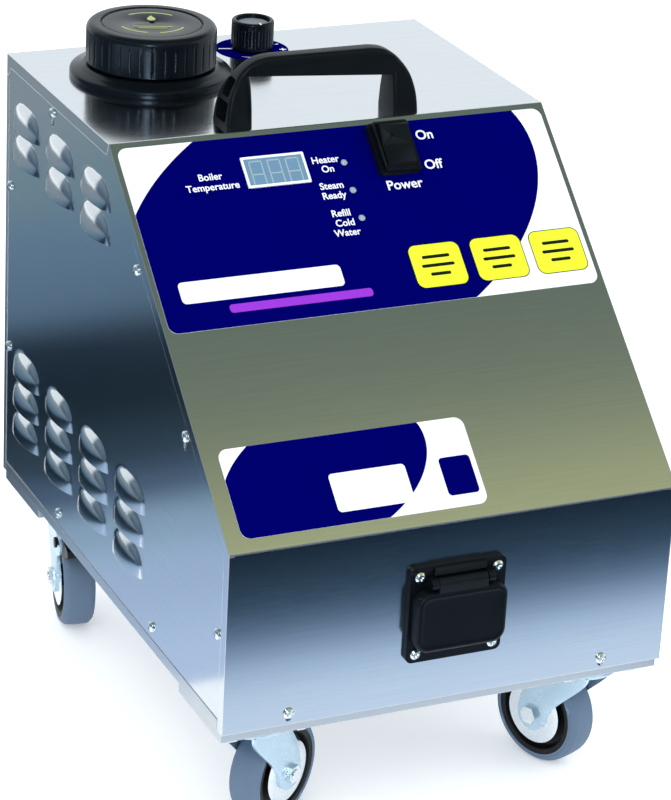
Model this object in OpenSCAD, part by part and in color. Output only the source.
// Commercial steam cleaner on four swivel casters.
// Folded stainless cabinet with a sloping control face, a capped water filler
// and steam regulator on top, and a flap-covered steam outlet on the front.
// Millimetres. +Z up, the front faces -Y, +X is the right side seen from the front.
// Origin: on the floor, under the middle of the cabinet.

/* [Cabinet] */
// Cabinet width across the two side panels
body_w = 345; // [300:1:420]
// Cabinet depth, front panel to rear panel
body_d = 460; // [400:1:560]
// Cabinet height, front bottom edge to top sheet
body_h = 348; // [300:1:420]
// Height of the upright lower front panel
front_h = 138; // [100:1:180]
// How far back the slope reaches before it meets the top sheet
slope_d = 241; // [180:1:300]
// Thickness of the folded shell
sheet_t = 1.5; // [1:0.1:2]
// Thickness of the side panels
panel_t = 1.2; // [0.8:0.1:1.5]
// Outside radius of the shell's bends
bend_r = 3; // [2:0.5:5]
// Width of the shell's folded rim seen around each side panel
rim_w = 9; // [6:0.5:12]
// Visible gap around the side panels
panel_gap = 0.5; // [0.3:0.1:1]

/* [Louvres] */
// Length of one pressed louvre
louvre_l = 60; // [40:1:70]
// Height of one pressed louvre
louvre_h = 20; // [14:1:24]
// How far a louvre stands out
louvre_out = 6.5; // [4:0.5:8]
// Distance between louvre columns
louvre_pitch_y = 74.5; // [65:0.5:80]
// Distance between louvre rows
louvre_pitch_z = 25.5; // [22:0.5:30]

/* [Filler] */
// Filler centre, across the cabinet
filler_x = -86; // [-110:1:-60]
// Filler centre, back from the front panel
filler_y = 382; // [350:1:400]
// Radius of the filler cap's skirt
cap_r = 49; // [40:0.5:55]
// Height of the cap's top above the top sheet
cap_top = 41; // [35:0.5:50]
// Radius of the black collar's flange
collar_r = 61; // [55:0.5:66]
// Radius of the water way through the filler neck
neck_r = 40; // [34:0.5:42]

/* [Regulator] */
// Regulator centre, across the cabinet
reg_x = 13; // [0:1:30]
// Regulator centre, back from the front panel
reg_y = 420; // [400:1:430]
// Radius of the regulator knob
knob_r = 16.5; // [12:0.5:20]
// Radius of the printed dial under the knob
dial_r = 28.5; // [24:0.5:32]

/* [Handle] */
// Length of the handle over its feet
handle_l = 152; // [130:1:180]
// Width of the hand gap between the legs
grip_gap = 113; // [95:1:130]
// Height of the handle above the top sheet
handle_h = 49.5; // [46:0.5:60]
// Thickness of the grip bar
grip_t = 11; // [9:0.5:14]
// Depth of the grip bar, front to back
grip_d = 16; // [14:0.5:20]
// Depth of the feet, front to back
handle_d = 30; // [24:1:36]
// Handle centre, across the cabinet
handle_x = -4; // [-20:1:20]
// Handle centre, back from the front panel
handle_y = 260; // [255:1:280]

/* [Control face] */
// Width of the control label
label_w = 337; // [300:1:340]
// Height of the control label, measured up the slope
label_h = 148; // [120:1:160]
// Distance up the slope to the label's lower edge
label_v = 167; // [150:1:180]
// Width of the display window
display_w = 49; // [40:1:60]
// Height of the display window
display_h = 25; // [20:1:32]
// Width of the power switch's bezel
switch_w = 33; // [24:0.5:36]
// Height of the power switch's bezel
switch_h = 41.5; // [36:0.5:50]

/* [Steam socket] */
// Side of the square socket base
socket_w = 74; // [60:1:80]
// Height of the socket's centre above the front panel's lower edge
socket_z = 71; // [60:1:80]
// Radius of the steam outlet's bore
outlet_r = 8; // [6:0.5:10]
// How far the closed flap stands out from the front panel
flap_out = 15; // [12:0.5:20]

/* [Casters] */
// Radius of the wheels
wheel_r = 40; // [35:0.5:50]
// Width of the wheels
wheel_w = 25; // [20:0.5:32]
// Height of a caster from the floor to its mounting face
caster_h = 100; // [95:0.5:120]
// Offset of the axle from the swivel axis
trail = 30; // [22:0.5:36]
// Distance of the swivel axes from the cabinet's middle
caster_x = 132; // [110:1:140]
// Distance of the swivel axes from the front and rear faces
caster_in = 42; // [36:1:60]
// Direction the front left wheel trails in
ang_fl = 32; // [-180:1:180]
// Direction the front right wheel trails in
ang_fr = 111; // [-180:1:180]
// Direction the rear left wheel trails in
ang_rl = -101; // [-180:1:180]
// Direction the rear right wheel trails in
ang_rr = -62; // [-180:1:180]

/* [Hidden] */
$fn = 64;
rail_h = 8;
base_z = caster_h + rail_h;
slope_a = atan2(body_h - front_h, slope_d);
half_w = body_w / 2;
in_x = half_w - sheet_t;
lap_x = in_x - 0.3;
screw_r = 2;
caster_y = body_d / 2 - caster_in;
axle_r = 4;
run = 0.05;
cap_low = 11;
win_x = -54.5;
win_v = 285.5;
lamp_x = -0.5;
sw_x = 40;
sw_v = 292;
tank_x0 = -162;
tank_x1 = -18;
tank_y0 = 272;
tank_y1 = 446;
tank_z0 = 14;
tank_z1 = 318;
boiler_x = 78;
boiler_z = 98;
boiler_r = 62;
jacket_r = 77;
brake_x = 51;
brake_z = 80;
brake_turn = 8;

// ---- placing ----

// Cabinet space: Y from the front face, Z from the cabinet's lower edge.
module in_cabinet() {
  translate([0, -body_d / 2, base_z]) children();
}

// Slope space: Y up the slope, Z out of it, from the front bend.
module on_slope() {
  in_cabinet() translate([0, 0, front_h]) rotate([slope_a, 0, 0]) children();
}

// Top space: Z up from the top sheet.
module on_top(x, y) {
  in_cabinet() translate([x, y, body_h]) children();
}

// A shape drawn in Y and Z, given thickness along X.
module along_x(x0, len) {
  translate([x0, 0, 0]) rotate([90, 0, 90]) linear_extrude(len) children();
}

// A shape drawn in X and Z, given thickness along Y.
module along_y(y0, len) {
  translate([0, y0 + len, 0]) rotate([90, 0, 0]) linear_extrude(len) children();
}

// A caster's own space: the swivel axis at the origin, the wheel towards +X.
module at_caster(sx, sy, ang) {
  translate([sx * caster_x, sy * caster_y, 0]) rotate([0, 0, ang]) children();
}

// ---- shared shapes ----

// Rectangle with round corners, centred.
module round_rect(w, h, r) {
  square([w - 2 * r, h], center = true);
  square([w, h - 2 * r], center = true);
  for (sx = [-1, 1], sy = [-1, 1]) {
    translate([sx * (w / 2 - r), sy * (h / 2 - r)]) circle(r);
  }
}

// Upright slot running down from a screw's centre.
module slot_down(r, len) {
  circle(r);
  if (len > 0) {
    translate([0, -len]) circle(r);
    translate([-r, -len]) square([2 * r, len]);
  }
}

// Points of a rounded corner at c, between the directions of p and n.
function unit(v) = v / norm(v);
function corner(p, c, n, r) =
  let (u = unit(p - c), v = unit(n - c), h = acos(u * v) / 2, m = unit(u + v))
  let (o = c + m * r / sin(h), a = c + u * r / tan(h) - o, b = c + v * r / tan(h) - o)
  [for (i = [0:4]) o + unit(a * (4 - i) + b * i) * r];

// The shell's line from the front's lower edge to the rear, set in by m.
function bend_1(m) = [m, front_h + m * tan(slope_a) - m / cos(slope_a)];
function bend_2(m) =
  [(body_h - m - front_h + m / cos(slope_a)) / tan(slope_a), body_h - m];
function shell_line(m, z0, y1, r) = concat(
  [[m, z0]],
  corner([m, z0], bend_1(m), bend_2(m), r),
  corner(bend_1(m), bend_2(m), [y1, body_h - m], r),
  [[y1, body_h - m]]);
function back(v) = [for (i = [len(v) - 1:-1:0]) v[i]];

// Band of the shell's outline between two insets.
module shell_band(m0, m1, z0, y1) {
  polygon(concat(shell_line(m0, z0, y1, max(bend_r - m0, 0.5)),
    back(shell_line(m1, z0, y1, max(bend_r - m1, 0.5)))));
}

// Pan-head screw, head outwards along +Z from z = 0.
module pan_screw(len) {
  difference() {
    union() {
      cylinder(h = 1, r = 4, $fn = 32);
      translate([0, 0, 1]) cylinder(h = 1.4, r1 = 4, r2 = 2.4, $fn = 32);
      translate([0, 0, -len]) cylinder(h = len, r = screw_r, $fn = 32);
    }
    translate([-0.5, -1.9, 1.2]) cube([1, 3.8, 2]);
    translate([-1.9, -0.5, 1.2]) cube([3.8, 1, 2]);
  }
}

// A point set in from the slope's edge, s along it.
function slope_pt(s, m) =
  [s * cos(slope_a) + m * sin(slope_a), front_h + s * sin(slope_a) - m * cos(slope_a)];

// Side screws as [y, z, slot length].
side_screws = [
  [358, body_h - 15, 8],
  [body_d - 10, 244, 0],
  [body_d - 10, 110, 0],
  [slope_pt(227, 16)[0], slope_pt(227, 16)[1], 0],
  [slope_pt(97, 16)[0], slope_pt(97, 16)[1], 8],
  [331, 18, 0],
  [134, 18, 0],
  [15, 72, 0]];
front_screw_x = 123;
front_screw_z = 9;

// ---- cabinet ----

// Floor tray: its folded sides show as a strip below the side panels.
module chassis_tray() {
  color("silver") in_cabinet() difference() {
    union() {
      translate([-half_w, 10, 0]) cube([body_w, body_d - 16, sheet_t]);
      translate([-lap_x, 1.8, 0]) cube([2 * lap_x, body_d - 3.6, sheet_t]);
      for (s = [-1, 1]) {
        translate([s > 0 ? in_x : -half_w, 10, 0]) cube([sheet_t, body_d - 16, 8]);
        translate([s > 0 ? lap_x - sheet_t : -half_w, 10, 6.5])
          cube([half_w - lap_x + sheet_t, body_d - 16, sheet_t]);
        translate([s > 0 ? lap_x - sheet_t : -lap_x, 10, 6.5]) cube([sheet_t, body_d - 32, 18]);
      }
      translate([-lap_x + 4, 1.8, 0]) cube([2 * lap_x - 8, sheet_t, 22]);
      translate([-lap_x + 4, body_d - 3.3, 0]) cube([2 * lap_x - 8, sheet_t, 22]);
    }
    for (y = [331, 134]) {
      translate([-half_w - 1, y, 18]) rotate([0, 90, 0])
        cylinder(h = body_w + 2, r = screw_r + 0.1, $fn = 32);
    }
    for (s = [-1, 1]) {
      translate([s * front_screw_x, 0, front_screw_z]) rotate([-90, 0, 0])
        cylinder(h = 6, r = screw_r + 0.1, $fn = 32);
      translate([s * 120, body_d - 6, 14]) rotate([-90, 0, 0])
        cylinder(h = 8, r = screw_r + 0.1, $fn = 32);
    }
    for (x = [-60, 0, 60], y = [200, 260]) {
      translate([x, y, -1]) cylinder(h = 4, r = 6);
    }
  }
}

// Two channels across the tray that carry the casters.
module caster_rail() {
  difference() {
    translate([-half_w + 1, 4, -rail_h]) cube([body_w - 2, 78, rail_h]);
    translate([-half_w + 3, 6, -rail_h + 2]) cube([body_w - 6, 74, rail_h]);
    for (sx = [-1, 1], bx = [-26, 26], by = [-24, 24]) {
      translate([sx * caster_x + bx, caster_in + by, -rail_h - 1])
        cylinder(h = 4, r = 3.25, $fn = 32);
    }
  }
}

module caster_rails() {
  color("silver") in_cabinet() {
    caster_rail();
    translate([0, body_d, 0]) mirror([0, 1, 0]) caster_rail();
  }
}

// Front, slope and top in one folded sheet, with a stepped rim down each side.
module wrap_shell() {
  color("lightsteelblue") in_cabinet() difference() {
    union() {
      along_x(-half_w, body_w) shell_band(0, sheet_t, 0, body_d);
      for (s = [-1, 1]) {
        along_x(s > 0 ? in_x : -half_w, sheet_t) shell_band(0, rim_w, 0, body_d);
        along_x(s > 0 ? lap_x - sheet_t : -half_w, half_w - lap_x + sheet_t)
          shell_band(rim_w - 1.5, rim_w, 23, body_d - 20);
        along_x(s > 0 ? lap_x - sheet_t : -lap_x, sheet_t)
          shell_band(rim_w - 1.5, 24, 25, body_d - 20);
      }
      translate([-half_w, body_d - sheet_t, body_h - 16]) cube([body_w, sheet_t, 16 - sheet_t]);
      for (s = [-1, 1]) {
        translate([s > 0 ? in_x : -half_w, body_d - 5.5, body_h - 16]) cube([sheet_t, 5.5, 10]);
      }
    }
    // relief notches where the rim turns the two bends
    for (s = [-1, 1], q = [[bend_1(0), 65.5], [bend_2(0), 110.5]]) {
      translate([s > 0 ? lap_x - 3 : -half_w - 1, q[0][0], q[0][1]]) rotate([q[1], 0, 0])
        translate([0, -27, -0.6]) cube([5, 26, 1.2]);
    }
    // side screw holes in the stepped rim
    for (q = side_screws) {
      translate([-half_w - 1, q[0], q[1]]) rotate([0, 90, 0])
        cylinder(h = body_w + 2, r = screw_r + 0.1, $fn = 32);
    }
    // front fixing slots
    for (s = [-1, 1]) {
      along_y(-1, 4) translate([s * front_screw_x, front_screw_z]) slot_down(screw_r + 0.2, 4);
    }
    // steam socket cut-out
    along_y(-1, 4) translate([0, socket_z - 4]) round_rect(59, 49, 4);
    for (sx = [-1, 1], sz = [-1, 1]) {
      translate([sx * 30, -1, socket_z + sz * 30]) rotate([-90, 0, 0])
        cylinder(h = 4, r = screw_r + 0.1, $fn = 32);
    }
    // filler, regulator and handle holes in the top
    translate([filler_x, filler_y, body_h - 4]) cylinder(h = 8, r = neck_r + 5, $fn = 96);
    translate([reg_x, reg_y, body_h - 4]) cylinder(h = 8, r = 6);
    for (s = [-1, 1]) {
      translate([handle_x + s * 66, handle_y, body_h - 4]) cylinder(h = 8, r = 2.8, $fn = 32);
    }
    // display, lamps and switch in the slope
    translate([0, 0, front_h]) rotate([slope_a, 0, 0]) {
      translate([win_x - 22, win_v - 10, -4]) cube([44, 20, 8]);
      for (v = [286, 263, 240]) {
        translate([lamp_x, v, -4]) cylinder(h = 8, r = 2.6, $fn = 32);
      }
      translate([sw_x - 13.2, sw_v - 19.8, -4]) cube([26.4, 39.6, 8]);
    }
  }
}

// Pressed louvre, open along its lower edge; d moves it inwards for the hollow.
module louvre(y, z, d, drop) {
  r_a = (louvre_h * louvre_h + louvre_out * louvre_out) / (2 * louvre_out);
  r_b = (louvre_l * louvre_l / 4 + louvre_out * louvre_out) / (2 * louvre_out);
  translate([half_w - 0.3 - d, y, z - louvre_h / 2]) intersection() {
    translate([louvre_out - r_a, -louvre_l, 0]) rotate([-90, 0, 0])
      cylinder(h = 2 * louvre_l, r = r_a, $fn = 96);
    translate([louvre_out - r_b, 0, -6]) cylinder(h = louvre_h + 20, r = r_b, $fn = 96);
    translate([-0.6, -louvre_l / 2 - 5, -drop])
      cube([louvre_out + 1, louvre_l + 10, louvre_h + 10 + drop]);
  }
}

module louvre_field(d, drop) {
  for (c = [0:3], r = [0:2]) {
    louvre(184 + c * louvre_pitch_y, 56 + r * louvre_pitch_z, d, drop);
  }
  for (c = [0:2], r = [0:1]) {
    louvre(265.5 + c * louvre_pitch_y, 283 + r * louvre_pitch_z, d, drop);
  }
}

function panel_outline() =
  let (m = rim_w + panel_gap, z0 = 8 + panel_gap, y1 = body_d - 6)
  [[m, z0], bend_1(m), bend_2(m), [y1, body_h - m], [y1, z0]];

// Right side panel; the left one is its mirror image.
module side_panel() {
  in_cabinet() difference() {
    union() {
      along_x(half_w - 0.3 - panel_t, panel_t) polygon(panel_outline());
      louvre_field(0, 0);
    }
    louvre_field(panel_t, 0.8);
    for (q = side_screws) {
      along_x(in_x - 1, sheet_t + 2) translate([q[0], q[1]]) slot_down(screw_r + 0.2, q[2]);
    }
  }
}

module right_side_panel() {
  color("lightsteelblue") side_panel();
}

module left_side_panel() {
  color("lightsteelblue") mirror([1, 0, 0]) side_panel();
}

// Rear panel with narrow folded edges that frame the side panels.
module rear_panel() {
  color("lightsteelblue") in_cabinet() difference() {
    union() {
      translate([-half_w, body_d - sheet_t, 0]) cube([body_w, sheet_t, body_h - 16.5]);
      for (s = [-1, 1]) {
        translate([s > 0 ? in_x : -half_w, body_d - 5.5, 0]) cube([sheet_t, 5.5, body_h - 16.5]);
        translate([s > 0 ? lap_x - sheet_t : -half_w, body_d - 5.5, 9])
          cube([half_w - lap_x + sheet_t, sheet_t, body_h - 36]);
        translate([s > 0 ? lap_x - sheet_t : -lap_x, body_d - 19, 25])
          cube([sheet_t, 15, body_h - 52]);
      }
    }
    for (q = side_screws) {
      translate([-half_w - 1, q[0], q[1]]) rotate([0, 90, 0])
        cylinder(h = body_w + 2, r = screw_r + 0.1, $fn = 32);
    }
    for (s = [-1, 1]) {
      translate([s * 120, body_d - 4, 14]) rotate([-90, 0, 0])
        cylinder(h = 8, r = screw_r + 0.1, $fn = 32);
    }
    // cable gland hole and cooling slots
    translate([100, body_d - 4, 60]) rotate([-90, 0, 0]) cylinder(h = 8, r = 8.2);
    for (x = [-120, -90, -60, -30, 0], z = [210, 232, 254, 276]) {
      along_y(body_d - 4, 8) translate([x, z]) square([22, 5], center = true);
    }
  }
}

// All M4 pan-head screws in the cabinet's sides, front and rear.
module panel_screws() {
  color("silver") in_cabinet() {
    for (q = side_screws) {
      translate([half_w - 0.3, q[0], q[1]]) rotate([0, 90, 0]) pan_screw(9);
      translate([-half_w + 0.3, q[0], q[1]]) rotate([0, -90, 0]) pan_screw(9);
    }
    for (s = [-1, 1]) {
      translate([s * front_screw_x, 0, front_screw_z]) rotate([90, 0, 0]) pan_screw(9);
      translate([s * 120, body_d, 14]) rotate([-90, 0, 0]) pan_screw(9);
    }
  }
}

// ---- handle ----

// Side view of the handle: wide feet, legs curving in to a level bar.
module handle_side() {
  hl = handle_l / 2;
  gl = grip_gap / 2;
  h = handle_h;
  leg = [[hl, 0], [hl - 0.7, 0.2 * h], [hl - 2.6, 0.4 * h], [hl - 6.2, 0.6 * h],
    [hl - 11.5, 0.76 * h], [hl - 18.5, 0.89 * h], [hl - 26.5, 0.97 * h], [hl - 36, h]];
  difference() {
    polygon(concat(leg, [for (i = [len(leg) - 1:-1:0]) [-leg[i][0], leg[i][1]]]));
    translate([-gl, -1]) square([2 * gl, h - grip_t - 5]);
    translate([-gl + 6, 5]) square([2 * gl - 12, h - grip_t - 5]);
    for (s = [-1, 1]) {
      translate([s * (gl - 6), h - grip_t - 6]) circle(6);
    }
  }
}

module carry_handle() {
  hl = handle_l / 2;
  gd = grip_d / 2;
  color("dimgray") on_top(handle_x, handle_y) difference() {
    intersection() {
      along_y(-handle_d / 2, handle_d) handle_side();
      // narrower towards the grip, with a rounded crown
      along_x(-hl - 1, handle_l + 2) {
        polygon([[-handle_d / 2, 0], [handle_d / 2, 0], [13.6, 14], [11, 27], [gd, 38],
          [gd, handle_h - 5], [-gd, handle_h - 5], [-gd, 38], [-11, 27], [-13.6, 14]]);
        translate([-gd + 5, handle_h - 7]) square([grip_d - 10, 7]);
        for (s = [-1, 1]) {
          translate([s * (gd - 5), handle_h - 5]) circle(5);
        }
      }
    }
    // pockets in the outer faces of the legs
    for (s = [-1, 1]) {
      along_y(-7, 14) scale([s, 1])
        polygon([[hl - 6, 16], [hl + 4, 16], [hl + 4, 36], [hl - 15.5, 36], [hl - 10, 25]]);
      translate([s * 66, 0, -1]) cylinder(h = 13, r = 2.6, $fn = 32);
    }
  }
}

// M5 screws that hold the handle from inside the cabinet.
module handle_screws() {
  color("silver") for (s = [-1, 1]) {
    on_top(handle_x + s * 66, handle_y) {
      translate([0, 0, -sheet_t - 13.5]) cylinder(h = 24, r = 2.5, $fn = 32);
      translate([0, 0, -sheet_t - 5]) cylinder(h = 5, r = 5.5, $fn = 32);
    }
  }
}

// ---- filler ----

// Neck that the cap screws onto, and the stepped dress ring around it.
module filler_collar() {
  color("dimgray") on_top(filler_x, filler_y) {
    rotate_extrude($fn = 96)
      polygon([[neck_r, -20], [neck_r + 2, -20], [neck_r + 2, 30], [neck_r, 30]]);
    rotate_extrude($fn = 96)
      polygon([[neck_r + 2.05, 0], [collar_r, 0], [collar_r, 2], [collar_r - 1.5, 3.5],
        [collar_r - 6, 6], [cap_r + 3, 8], [cap_r + 1, 9.6], [neck_r + 2.05, 9.6]]);
  }
}

// Screw cap: ribbed skirt, rounded shoulder, recessed top.
module filler_cap() {
  color("dimgray") on_top(filler_x, filler_y) {
    difference() {
      rotate_extrude($fn = 96)
        polygon([[0, 35], [neck_r - 1, 35], [neck_r - 1, 33.1], [neck_r + 6.8, 33.1],
          [neck_r + 6.8, cap_low], [cap_r, cap_low], [cap_r, cap_top - 5],
          [cap_r - 0.7, cap_top - 2.4], [cap_r - 2.4, cap_top - 0.7], [cap_r - 5, cap_top],
          [38, cap_top], [38, cap_top - 1.6], [0, cap_top - 1.6]]);
      for (i = [0:35]) {
        rotate([0, 0, i * 10]) translate([cap_r + 0.6, 0, cap_low - 1])
          cylinder(h = cap_top - cap_low - 6, r = 1.3, $fn = 16);
      }
    }
  }
}

// Disc set into the cap's top, with a small vent hole in the middle.
module cap_disc() {
  color("gray") on_top(filler_x, filler_y) translate([0, 0, cap_top - 1.6]) difference() {
    cylinder(h = 1, r = 37.6, $fn = 96);
    translate([0, 0, -1]) cylinder(h = 3, r = 2, $fn = 32);
  }
}

// Flat rubber seal between the neck and the cap.
module cap_gasket() {
  color("black") on_top(filler_x, filler_y) translate([0, 0, 30.35]) difference() {
    cylinder(h = 2.4, r = neck_r + 5.6, $fn = 96);
    translate([0, 0, -1]) cylinder(h = 5, r = neck_r - 0.5, $fn = 96);
  }
}

// ---- steam regulator ----

module dial_label() {
  color("navy") on_top(reg_x, reg_y) difference() {
    cylinder(h = 0.4, r = dial_r, $fn = 96);
    translate([0, 0, -1]) cylinder(h = 3, r = 6);
  }
}

// Hollow-topped knob with fine ribs.
module regulator_knob() {
  color("dimgray") on_top(reg_x, reg_y) difference() {
    union() {
      translate([0, 0, 1.2]) cylinder(h = 21.8, r = knob_r);
      translate([0, 0, 23]) cylinder(h = 1.5, r1 = knob_r, r2 = knob_r - 1.5);
    }
    translate([0, 0, 20]) cylinder(h = 6, r = knob_r - 4);
    translate([0, 0, 3]) cylinder(h = 13, r = 3);
    translate([0, 0, 0]) cylinder(h = 5.2, r = 7.5);
    for (i = [0:29]) {
      rotate([0, 0, i * 12]) translate([knob_r + 0.4, 0, 0.5]) cylinder(h = 20.5, r = 0.9, $fn = 16);
    }
  }
}

// Valve spindle, pressed into the knob and turning in the valve.
module regulator_spindle() {
  color("goldenrod") on_top(reg_x, reg_y) translate([0, 0, -22]) cylinder(h = 37.5, r = 3);
}

// Brass needle valve hung under the top sheet.
module regulator_valve() {
  color("goldenrod") on_top(reg_x, reg_y) difference() {
    union() {
      translate([0, 0, -7]) cylinder(h = 5.3, r = 9, $fn = 6);
      translate([0, 0, -26]) cylinder(h = 30, r = 5.5);
      translate([-11, -11, -42]) cube([22, 22, 18]);
      translate([11, 0, -34]) rotate([0, 90, 0]) cylinder(h = 10, r = 6);
      translate([0, -21, -34]) rotate([-90, 0, 0]) cylinder(h = 10, r = 6);
    }
    translate([0, 0, -24]) cylinder(h = 40, r = 3 + run);
    translate([5, 0, -34]) rotate([0, 90, 0]) cylinder(h = 20, r = 4.1);
    translate([0, -25, -34]) rotate([-90, 0, 0]) cylinder(h = 20, r = 4.1);
  }
}

// ---- control face ----

module control_label() {
  color("navy") on_slope() difference() {
    translate([0, label_v + label_h / 2, 0]) linear_extrude(0.4)
      round_rect(label_w, label_h, 7);
    translate([win_x - display_w / 2 - 0.2, win_v - display_h / 2 - 0.2, -1])
      cube([display_w + 0.4, display_h + 0.4, 4]);
    for (v = [286, 263, 240]) {
      translate([lamp_x, v, -1]) cylinder(h = 4, r = 2.6, $fn = 32);
    }
    translate([sw_x - 13.2, sw_v - 19.8, -1]) cube([26.4, 39.6, 4]);
  }
}

module model_label() {
  color("navy") on_slope() translate([-67, 43.5, 0]) linear_extrude(0.4) round_rect(186, 67, 7);
}

// Clear window glued into the label over the numeric display.
module display_window() {
  color([0.7, 0.85, 0.9, 0.4]) on_slope()
    translate([win_x - display_w / 2, win_v - display_h / 2, 0]) cube([display_w, display_h, 1.2]);
}

// Three-digit display on its small circuit board.
module display_module() {
  color("darkslategray") on_slope() translate([win_x, win_v, 0]) difference() {
    union() {
      translate([-21.5, -9.6, -12]) cube([43, 19.2, 11.5]);
      translate([-32, -19, -13.6]) cube([64, 38, 1.6]);
    }
    for (sx = [-1, 1], sy = [-1, 1]) {
      translate([sx * 28, sy * 15, -15]) cylinder(h = 5, r = 1.6, $fn = 32);
    }
  }
}

// Three round indicator lamps in a column.
module indicator_lights() {
  color([0.8, 0.85, 0.8, 0.7]) on_slope() for (v = [286, 263, 240]) {
    translate([lamp_x, v, -7]) cylinder(h = 7.8, r = 2.4, $fn = 32);
    translate([lamp_x, v, 0.8]) cylinder(h = 0.8, r1 = 2.4, r2 = 1.4, $fn = 32);
  }
}

// Switch housing with a deep bezel around the rocker.
module switch_body() {
  color("dimgray") on_slope() translate([sw_x, sw_v, 0]) difference() {
    union() {
      translate([0, 0, 0.4]) linear_extrude(5) round_rect(switch_w, switch_h, 2.5);
      translate([0, 0, 5.4]) linear_extrude(4) round_rect(switch_w - 5, switch_h - 2, 2);
      translate([-13, -19.6, -24]) cube([26, 39.2, 25]);
      for (v = [-12, 0, 12]) {
        translate([-3, v - 0.4, -32]) cube([6, 0.8, 9]);
      }
    }
    translate([-11.9, -18, -14]) cube([23.8, 36, 40]);
    translate([-13.1, 0, 4]) rotate([0, 90, 0]) cylinder(h = 26.2, r = 1.5 + run, $fn = 32);
  }
}

// Rocker, at rest with its lower half pressed in.
module power_rocker() {
  color("dimgray") on_slope() translate([sw_x, sw_v, 4]) rotate([10, 0, 0]) {
    difference() {
      along_x(-11.5, 23) {
        polygon([[-16.5, 1], [-16.5, 7.9], [-14.5, 9.4], [0, 6.6], [14.5, 9.4], [16.5, 7.9],
          [16.5, 1], [8, -5], [-8, -5]]);
      }
      translate([-3, 7, 7.4]) cylinder(h = 3, r = 1.4, $fn = 32);
    }
    translate([-12.9, 0, 0]) rotate([0, 90, 0]) cylinder(h = 25.8, r = 1.5, $fn = 32);
  }
}

// ---- steam socket ----

// Square base on the front panel with a housing behind it.
module socket_base() {
  color("dimgray") in_cabinet() difference() {
    union() {
      along_y(-4, 4) translate([0, socket_z]) round_rect(socket_w, socket_w, 5);
      along_y(-9.5, 7) translate([0, socket_z - 4]) round_rect(52, 36, 5);
      along_y(-1, 45) translate([0, socket_z - 4]) round_rect(58, 48, 4);
      // hinge knuckles above the opening
      for (s = [-1, 1]) {
        along_x(s * 22 - 2.5, 5) {
          translate([-10, socket_z + 26]) circle(4, $fn = 48);
          translate([-10, socket_z + 22]) square([8, 8]);
        }
      }
      translate([-20, -7, socket_z + 31]) cube([40, 5, 5]);
    }
    along_y(-10, 60) translate([0, socket_z - 4]) round_rect(47, 31, 4);
    for (sx = [-1, 1], sz = [-1, 1]) {
      translate([sx * 30, -8, socket_z + sz * 30]) rotate([-90, 0, 0])
        cylinder(h = 12, r = screw_r + 0.2, $fn = 32);
    }
    along_x(-23.7, 47.4) translate([-10, socket_z + 26]) circle(1.8 + run, $fn = 48);
    // room for the flap's barrel between the knuckles
    along_x(-19.5, 39) translate([-10, socket_z + 26]) circle(4.5, $fn = 48);
  }
}

// Contact carrier with the steam bore and three signal contacts.
module socket_insert() {
  color("gray") in_cabinet() difference() {
    union() {
      along_y(4, 34) translate([0, socket_z - 4]) round_rect(46.6, 30.6, 3.8);
      translate([-9, 38, socket_z - 5]) rotate([-90, 0, 0]) cylinder(h = 12, r = 10);
    }
    translate([-9, 2, socket_z - 5]) rotate([-90, 0, 0]) cylinder(h = 38, r = outlet_r);
    translate([-9, 38, socket_z - 5]) rotate([-90, 0, 0]) cylinder(h = 14, r = 4.1);
    for (z = [-10, 0, 10]) {
      translate([13, 3, socket_z - 5 + z]) rotate([-90, 0, 0]) cylinder(h = 22, r = 2.3, $fn = 32);
    }
  }
}

module socket_screws() {
  color("silver") in_cabinet() for (sx = [-1, 1], sz = [-1, 1]) {
    translate([sx * 30, -4, socket_z + sz * 30]) rotate([90, 0, 0]) pan_screw(14);
  }
}

// Hinged splash flap, hollow behind, turning on two stub pins.
module socket_flap() {
  color("dimgray") in_cabinet() difference() {
    union() {
      along_y(-flap_out + 1, 9.6) translate([0, socket_z - 2.3]) round_rect(70, 46, 9);
      along_y(-flap_out, 1.01) translate([0, socket_z - 2.3]) round_rect(67, 43, 8);
      along_x(-19, 38) {
        translate([-10, socket_z + 26]) circle(4, $fn = 48);
        translate([-14, socket_z + 19]) square([4, 7]);
      }
      along_x(-23.5, 47) translate([-10, socket_z + 26]) circle(1.8, $fn = 48);
    }
    along_y(-flap_out + 3, 9) translate([0, socket_z - 3.5]) round_rect(62, 41, 6);
  }
}

// ---- inside the cabinet ----

// Blown water tank under the filler.
module water_tank() {
  color("white") in_cabinet() difference() {
    union() {
      translate([tank_x0, tank_y0, tank_z0])
        cube([tank_x1 - tank_x0, tank_y1 - tank_y0, tank_z1 - tank_z0]);
      translate([filler_x, filler_y, tank_z1 - 1])
        cylinder(h = body_h - 6 - tank_z1, r = neck_r - 0.6, $fn = 96);
      for (y = [tank_y0 + 20, tank_y1 - 44]) {
        translate([tank_x0 + 10, y, sheet_t]) cube([tank_x1 - tank_x0 - 20, 24, 14]);
      }
      translate([-60, tank_y0 - 14, tank_z0 + 14]) rotate([-90, 0, 0]) cylinder(h = 16, r = 6);
    }
    translate([tank_x0 + 3, tank_y0 + 3, tank_z0 + 3])
      cube([tank_x1 - tank_x0 - 6, tank_y1 - tank_y0 - 6, tank_z1 - tank_z0 - 6]);
    translate([filler_x, filler_y, tank_z1 - 5])
      cylinder(h = body_h, r = neck_r - 3.6, $fn = 96);
    translate([-60, tank_y0 - 16, tank_z0 + 14]) rotate([-90, 0, 0]) cylinder(h = 22, r = 3.5);
  }
}

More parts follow.
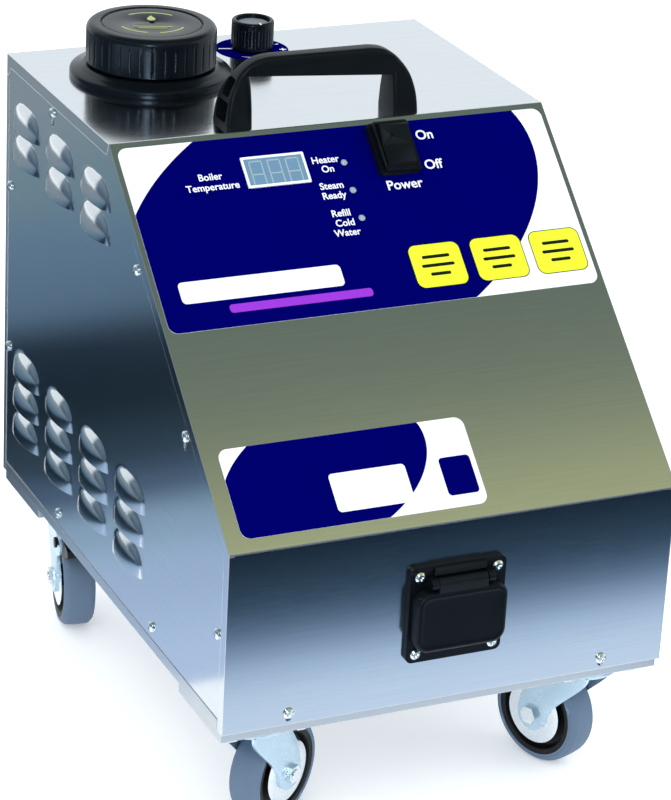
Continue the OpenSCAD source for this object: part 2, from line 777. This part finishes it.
// Welded boiler lying front to back, with threaded bosses along its top.
module boiler() {
  color("silver") in_cabinet() translate([boiler_x, 0, boiler_z]) difference() {
    union() {
      translate([0, 160, 0]) rotate([-90, 0, 0]) cylinder(h = 250, r = boiler_r, $fn = 96);
      translate([0, 150, 0]) rotate([-90, 0, 0])
        cylinder(h = 10, r1 = boiler_r - 14, r2 = boiler_r, $fn = 96);
      translate([0, 410, 0]) rotate([-90, 0, 0])
        cylinder(h = 10, r1 = boiler_r, r2 = boiler_r - 14, $fn = 96);
      for (y = [210, 300, 370]) {
        translate([0, y, boiler_r - 4]) cylinder(h = 24, r = 9);
      }
      translate([0, 144, 0]) rotate([-90, 0, 0]) cylinder(h = 8, r = 26, $fn = 6);
    }
    translate([0, 163, 0]) rotate([-90, 0, 0]) cylinder(h = 244, r = boiler_r - 3, $fn = 96);
    for (y = [210, 300, 370]) {
      translate([0, y, boiler_r - 10]) cylinder(h = 40, r = 6);
    }
    translate([0, 140, 0]) rotate([-90, 0, 0]) cylinder(h = 30, r = 18);
  }
}

// Insulating jacket wrapped around the boiler.
module boiler_jacket() {
  color("khaki") in_cabinet() translate([boiler_x, 0, boiler_z]) difference() {
    translate([0, 166, 0]) rotate([-90, 0, 0]) cylinder(h = 238, r = jacket_r, $fn = 96);
    translate([0, 160, 0]) rotate([-90, 0, 0]) cylinder(h = 250, r = boiler_r + 0.3, $fn = 96);
    for (y = [210, 300, 370]) {
      translate([0, y, 0]) cylinder(h = 100, r = 10);
    }
  }
}

// Two saddles that carry the boiler on the tray.
module boiler_brackets() {
  color("silver") in_cabinet() for (y = [192, 378]) {
    difference() {
      union() {
        translate([boiler_x - 56, y, sheet_t]) cube([112, 3, 62]);
        translate([boiler_x - 56, y, sheet_t]) cube([112, 22, 2]);
      }
      translate([boiler_x, y - 4, boiler_z]) rotate([-90, 0, 0])
        cylinder(h = 30, r = jacket_r + 0.1, $fn = 96);
    }
  }
}

// Screw-in electric element with two rods inside the boiler.
module heating_element() {
  color("orange") in_cabinet() translate([boiler_x, 0, boiler_z]) {
    translate([0, 136, 0]) rotate([-90, 0, 0]) cylinder(h = 8, r = 22, $fn = 6);
    translate([0, 143, 0]) rotate([-90, 0, 0]) cylinder(h = 22, r = 17.8);
    for (x = [-9, 9]) {
      translate([x, 164, 0]) rotate([-90, 0, 0]) cylinder(h = 200, r = 4);
      translate([x, 124, 0]) rotate([-90, 0, 0]) cylinder(h = 13, r = 2.5);
    }
    translate([-9, 364, -4]) cube([18, 5, 8]);
  }
}

// Spring-loaded safety valve on the boiler's rear boss.
module safety_valve() {
  color("goldenrod") in_cabinet() translate([boiler_x, 370, boiler_z + boiler_r]) {
    translate([0, 0, 2]) cylinder(h = 20, r = 5.8);
    translate([0, 0, 20.2]) cylinder(h = 8, r = 12, $fn = 6);
    translate([0, 0, 28]) cylinder(h = 26, r = 9);
    translate([0, 0, 54]) cylinder(h = 4, r1 = 9, r2 = 6);
    translate([-20, 0, 40]) rotate([0, 90, 0]) cylinder(h = 14, r = 5);
  }
}

// Feed pump on a folded foot.
module pump() {
  color("slategray") in_cabinet() translate([-95, 176, sheet_t]) difference() {
    union() {
      translate([-28, -34, 0]) cube([56, 68, 2]);
      translate([-24, -24, 2]) cube([48, 48, 40]);
      translate([0, -42, 24]) rotate([-90, 0, 0]) cylinder(h = 20, r = 14);
      translate([0, 22, 24]) rotate([-90, 0, 0]) cylinder(h = 16, r = 10);
      translate([0, 36, 24]) rotate([-90, 0, 0]) cylinder(h = 14, r = 4);
      translate([0, -54, 24]) rotate([-90, 0, 0]) cylinder(h = 14, r = 4);
    }
    for (sx = [-1, 1], sy = [-1, 1]) {
      translate([sx * 23, sy * 29, -1]) cylinder(h = 5, r = 2.2, $fn = 32);
    }
  }
}

// Steam solenoid valve standing on the boiler's middle boss.
module solenoid_valve() {
  color("goldenrod") in_cabinet() translate([boiler_x, 300, boiler_z + boiler_r]) difference() {
    union() {
      translate([0, 0, 2]) cylinder(h = 20, r = 5.8);
      translate([-13, -13, 20.2]) cube([26, 26, 20]);
      translate([-16, -19, 41]) cube([32, 38, 34]);
      translate([0, 0, 40]) cylinder(h = 2, r = 8);
      translate([0, 0, 75]) cylinder(h = 6, r = 7, $fn = 6);
      translate([-24, 0, 30]) rotate([0, 90, 0]) cylinder(h = 12, r = 7);
    }
    translate([-26, 0, 30]) rotate([0, 90, 0]) cylinder(h = 20, r = 4.1);
  }
}

// Main circuit board with its relay, transformer and heat sink.
module control_board() {
  color("darkgreen") in_cabinet() translate([-150, 16, sheet_t]) difference() {
    union() {
      translate([0, 0, 18]) cube([110, 86, 1.6]);
      for (x = [6, 104], y = [6, 80]) {
        translate([x, y, 0]) cylinder(h = 18.5, r = 4);
      }
      translate([10, 20, 19.5]) cube([36, 32, 28]);
      translate([58, 16, 19.5]) cube([20, 28, 16]);
      translate([84, 16, 19.5]) cube([18, 52, 22]);
      translate([16, 62, 19.5]) cube([56, 12, 12]);
    }
    for (x = [6, 104], y = [6, 80]) {
      translate([x, y, -1]) cylinder(h = 30, r = 1.6, $fn = 32);
    }
  }
}

// Run of round pipe with ball elbows.
module pipe(pts, r) {
  for (i = [0:len(pts) - 2]) {
    a = pts[i];
    b = pts[i + 1];
    d = b - a;
    translate(a) rotate([0, acos(d[2] / norm(d)), atan2(d[1], d[0])])
      cylinder(h = norm(d), r = r);
  }
  for (i = [1:1:len(pts) - 2]) {
    translate(pts[i]) rotate([35, 20, 0]) sphere(r + 0.6);
  }
}

// Water lines: tank to pump, and pump to boiler.
module water_hoses() {
  color("lightblue") in_cabinet() {
    pipe([[-60, 257.9, 28], [-60, 244, 28], [-95, 244, 28], [-95, 227, 25.5]], 4.5);
    pipe([[-95, 121.9, 25.5], [-95, 112, 25.5], [-28, 112, 25.5], [-28, 132, 190],
      [boiler_x, 180, 200], [boiler_x, 210, 200], [boiler_x, 210, 172]], 4.5);
  }
}

// Steam lines: solenoid to regulator, and regulator to the front outlet.
module steam_pipe() {
  vx = boiler_x;
  vz = boiler_z + boiler_r + 30;
  rz = body_h - 34;
  color("peru") in_cabinet() {
    pipe([[vx - 8, 300, vz], [vx - 50, 300, vz], [vx - 50, 300, 250], [vx - 50, 380, 250],
      [vx - 20, reg_y, 290], [vx - 20, reg_y, rz], [reg_x + 6, reg_y, rz]], 4);
    pipe([[reg_x, reg_y - 12, rz], [reg_x, 350, rz], [-9, 330, 230], [-9, 330, socket_z - 5],
      [-9, 44, socket_z - 5]], 4);
  }
}

// Cable gland low on the rear panel, empty.
module cable_gland() {
  color("black") in_cabinet() translate([100, body_d, 60]) rotate([-90, 0, 0]) difference() {
    union() {
      translate([0, 0, -14]) cylinder(h = 15, r = 8);
      cylinder(h = 5, r = 12, $fn = 6);
      translate([0, 0, 5]) cylinder(h = 6, r = 10);
      translate([0, 0, 11]) cylinder(h = 4, r1 = 10, r2 = 7);
      translate([0, 0, -sheet_t - 5]) cylinder(h = 5, r = 12, $fn = 6);
    }
    translate([0, 0, -20]) cylinder(h = 40, r = 5);
  }
}

// ---- casters ----

// Mounting plate, bearing boss and riveted kingpin of every caster.
module caster_plate() {
  difference() {
    union() {
      translate([-38, -33, caster_h - 2.5]) cube([76, 66, 2.5]);
      translate([0, 0, 91.3]) cylinder(h = caster_h - 92.5, r = 22);
    }
    for (bx = [-26, 26], by = [-24, 24]) {
      translate([bx, by, caster_h - 4]) cylinder(h = 6, r = 3.25, $fn = 32);
    }
  }
  translate([0, 0, 85]) cylinder(h = 8, r = 6);
  translate([0, 0, 85]) cylinder(h = 2.7, r = 10);
}

module caster_plates() {
  color("silver") for (sx = [-1, 1], sy = [-1, 1]) {
    translate([sx * caster_x, sy * caster_y, 0]) caster_plate();
  }
}

// M6 bolts and nuts through the plates and the rails.
module caster_bolts() {
  color("silver") for (sx = [-1, 1], sy = [-1, 1], bx = [-26, 26], by = [-24, 24]) {
    translate([sx * caster_x + bx, sy * caster_y + by, 0]) {
      translate([0, 0, caster_h - 6.5]) cylinder(h = 4, r = 5.5, $fn = 6);
      translate([0, 0, caster_h - 3]) cylinder(h = 10.3, r = 3, $fn = 32);
      translate([0, 0, caster_h + 2]) cylinder(h = 4.5, r = 5.5, $fn = 6);
    }
  }
}

// Side view of one fork leg, from the crown down to the axle.
module fork_leg(braked) {
  difference() {
    union() {
      translate([trail, wheel_r]) circle(11);
      polygon([[-20, 91], [30, 91], [trail + 10.8, wheel_r + 2], [trail - 9.6, wheel_r - 5.4]]);
      if (braked) {
        polygon([[20, 91], [brake_x + 3, brake_z + 6], [brake_x + 5, brake_z - 5], [36, 60]]);
        translate([brake_x, brake_z]) circle(7);
      }
    }
    translate([trail, wheel_r]) circle(axle_r + 0.1, $fn = 32);
    if (braked) {
      translate([brake_x, brake_z]) circle(2.5 + run, $fn = 32);
    }
  }
}

// Pressed fork with a cupped crown that turns on the kingpin.
module fork(braked) {
  color("lightgray") {
    difference() {
      translate([0, 0, 88]) cylinder(h = 8.7, r = 28);
      translate([0, 0, 91]) cylinder(h = 8, r = 25);
      translate([0, 0, 86]) cylinder(h = 8, r = 6 + run);
      translate([0, 0, 80]) cylinder(h = 8, r = 12);
    }
    along_y(14, 2.5) fork_leg(braked);
    along_y(-16.5, 2.5) fork_leg(braked);
  }
}

// Axle bolt with its nut, and the two dished thread guards beside the wheel.
module axle() {
  color("silver") translate([trail, 0, wheel_r]) rotate([90, 0, 0]) {
    translate([0, 0, -18]) cylinder(h = 39, r = axle_r, $fn = 32);
    translate([0, 0, 16.5]) cylinder(h = 3.5, r = 7.2, $fn = 6);
    translate([0, 0, -20]) cylinder(h = 3.5, r = 7.2, $fn = 6);
    for (s = [-1, 1]) {
      scale([1, 1, s]) translate([0, 0, 12.9]) difference() {
        cylinder(h = 1, r1 = 24, r2 = 20);
        translate([0, 0, -1]) cylinder(h = 4, r = axle_r + 0.15, $fn = 32);
      }
    }
  }
}

// Moulded wheel centre.
module hub() {
  color("black") translate([trail, 0, wheel_r]) rotate([90, 0, 0]) rotate_extrude($fn = 96)
    polygon([[axle_r + run, -12.4], [9, -12.4], [9, -7], [27.5, -7], [29.5, -12],
      [wheel_r - 6.5, -12], [wheel_r - 6.5, 12], [29.5, 12], [27.5, 7], [9, 7], [9, 12.4],
      [axle_r + run, 12.4]]);
}

// Soft tread moulded around the wheel centre.
module tyre() {
  w = wheel_w / 2;
  color("slategray") translate([trail, 0, wheel_r]) rotate([90, 0, 0]) rotate_extrude($fn = 96)
    polygon([[wheel_r - 6.5, -w], [wheel_r - 4, -w], [wheel_r - 1.2, -w + 2],
      [wheel_r - 0.2, -w + 5], [wheel_r, 0], [wheel_r - 0.2, w - 5], [wheel_r - 1.2, w - 2],
      [wheel_r - 4, w], [wheel_r - 6.5, w]]);
}

// Foot-operated brake lever above the wheel; its pad clears the tread by a hair when pressed.
module brake() {
  color("black") {
    difference() {
      along_y(-13.5, 27) difference() {
        union() {
          translate([brake_x, brake_z]) circle(6);
          polygon([[40, 84], [56, 87], [82, 86], [84, 82], [62, 70], [48, 74]]);
        }
        translate([trail, wheel_r]) circle(wheel_r + 1.5, $fn = 128);
        translate([brake_x, brake_z]) rotate(brake_turn)
          translate([trail - brake_x, wheel_r - brake_z]) circle(wheel_r + 0.5, $fn = 128);
      }
    }
    along_y(-18.5, 37) translate([brake_x, brake_z]) circle(2.5, $fn = 32);
    for (s = [-1, 1]) {
      along_y(s * 18 - 1, 2) translate([brake_x, brake_z]) circle(4.2, $fn = 32);
    }
  }
}

module fork_fl() { at_caster(-1, -1, ang_fl) fork(false); }
module axle_fl() { at_caster(-1, -1, ang_fl) axle(); }
module hub_fl() { at_caster(-1, -1, ang_fl) hub(); }
module tyre_fl() { at_caster(-1, -1, ang_fl) tyre(); }
module fork_fr() { at_caster(1, -1, ang_fr) fork(false); }
module axle_fr() { at_caster(1, -1, ang_fr) axle(); }
module hub_fr() { at_caster(1, -1, ang_fr) hub(); }
module tyre_fr() { at_caster(1, -1, ang_fr) tyre(); }
module fork_rl() { at_caster(-1, 1, ang_rl) fork(true); }
module axle_rl() { at_caster(-1, 1, ang_rl) axle(); }
module hub_rl() { at_caster(-1, 1, ang_rl) hub(); }
module tyre_rl() { at_caster(-1, 1, ang_rl) tyre(); }
module brake_rl() { at_caster(-1, 1, ang_rl) brake(); }
module fork_rr() { at_caster(1, 1, ang_rr) fork(true); }
module axle_rr() { at_caster(1, 1, ang_rr) axle(); }
module hub_rr() { at_caster(1, 1, ang_rr) hub(); }
module tyre_rr() { at_caster(1, 1, ang_rr) tyre(); }
module brake_rr() { at_caster(1, 1, ang_rr) brake(); }

chassis_tray();
caster_rails();
wrap_shell();
left_side_panel();
right_side_panel();
rear_panel();
panel_screws();
carry_handle();
handle_screws();
filler_collar();
control_label();
model_label();
dial_label();
display_window();
display_module();
indicator_lights();
switch_body();
socket_base();
socket_insert();
socket_screws();
water_tank();
boiler();
boiler_jacket();
boiler_brackets();
heating_element();
safety_valve();
pump();
solenoid_valve();
regulator_valve();
control_board();
water_hoses();
steam_pipe();
cable_gland();
caster_plates();
caster_bolts();
filler_cap();
cap_disc();
cap_gasket();
regulator_knob();
regulator_spindle();
power_rocker();
socket_flap();
fork_fl();
axle_fl();
hub_fl();
tyre_fl();
fork_fr();
axle_fr();
hub_fr();
tyre_fr();
fork_rl();
axle_rl();
hub_rl();
tyre_rl();
brake_rl();
fork_rr();
axle_rr();
hub_rr();
tyre_rr();
brake_rr();
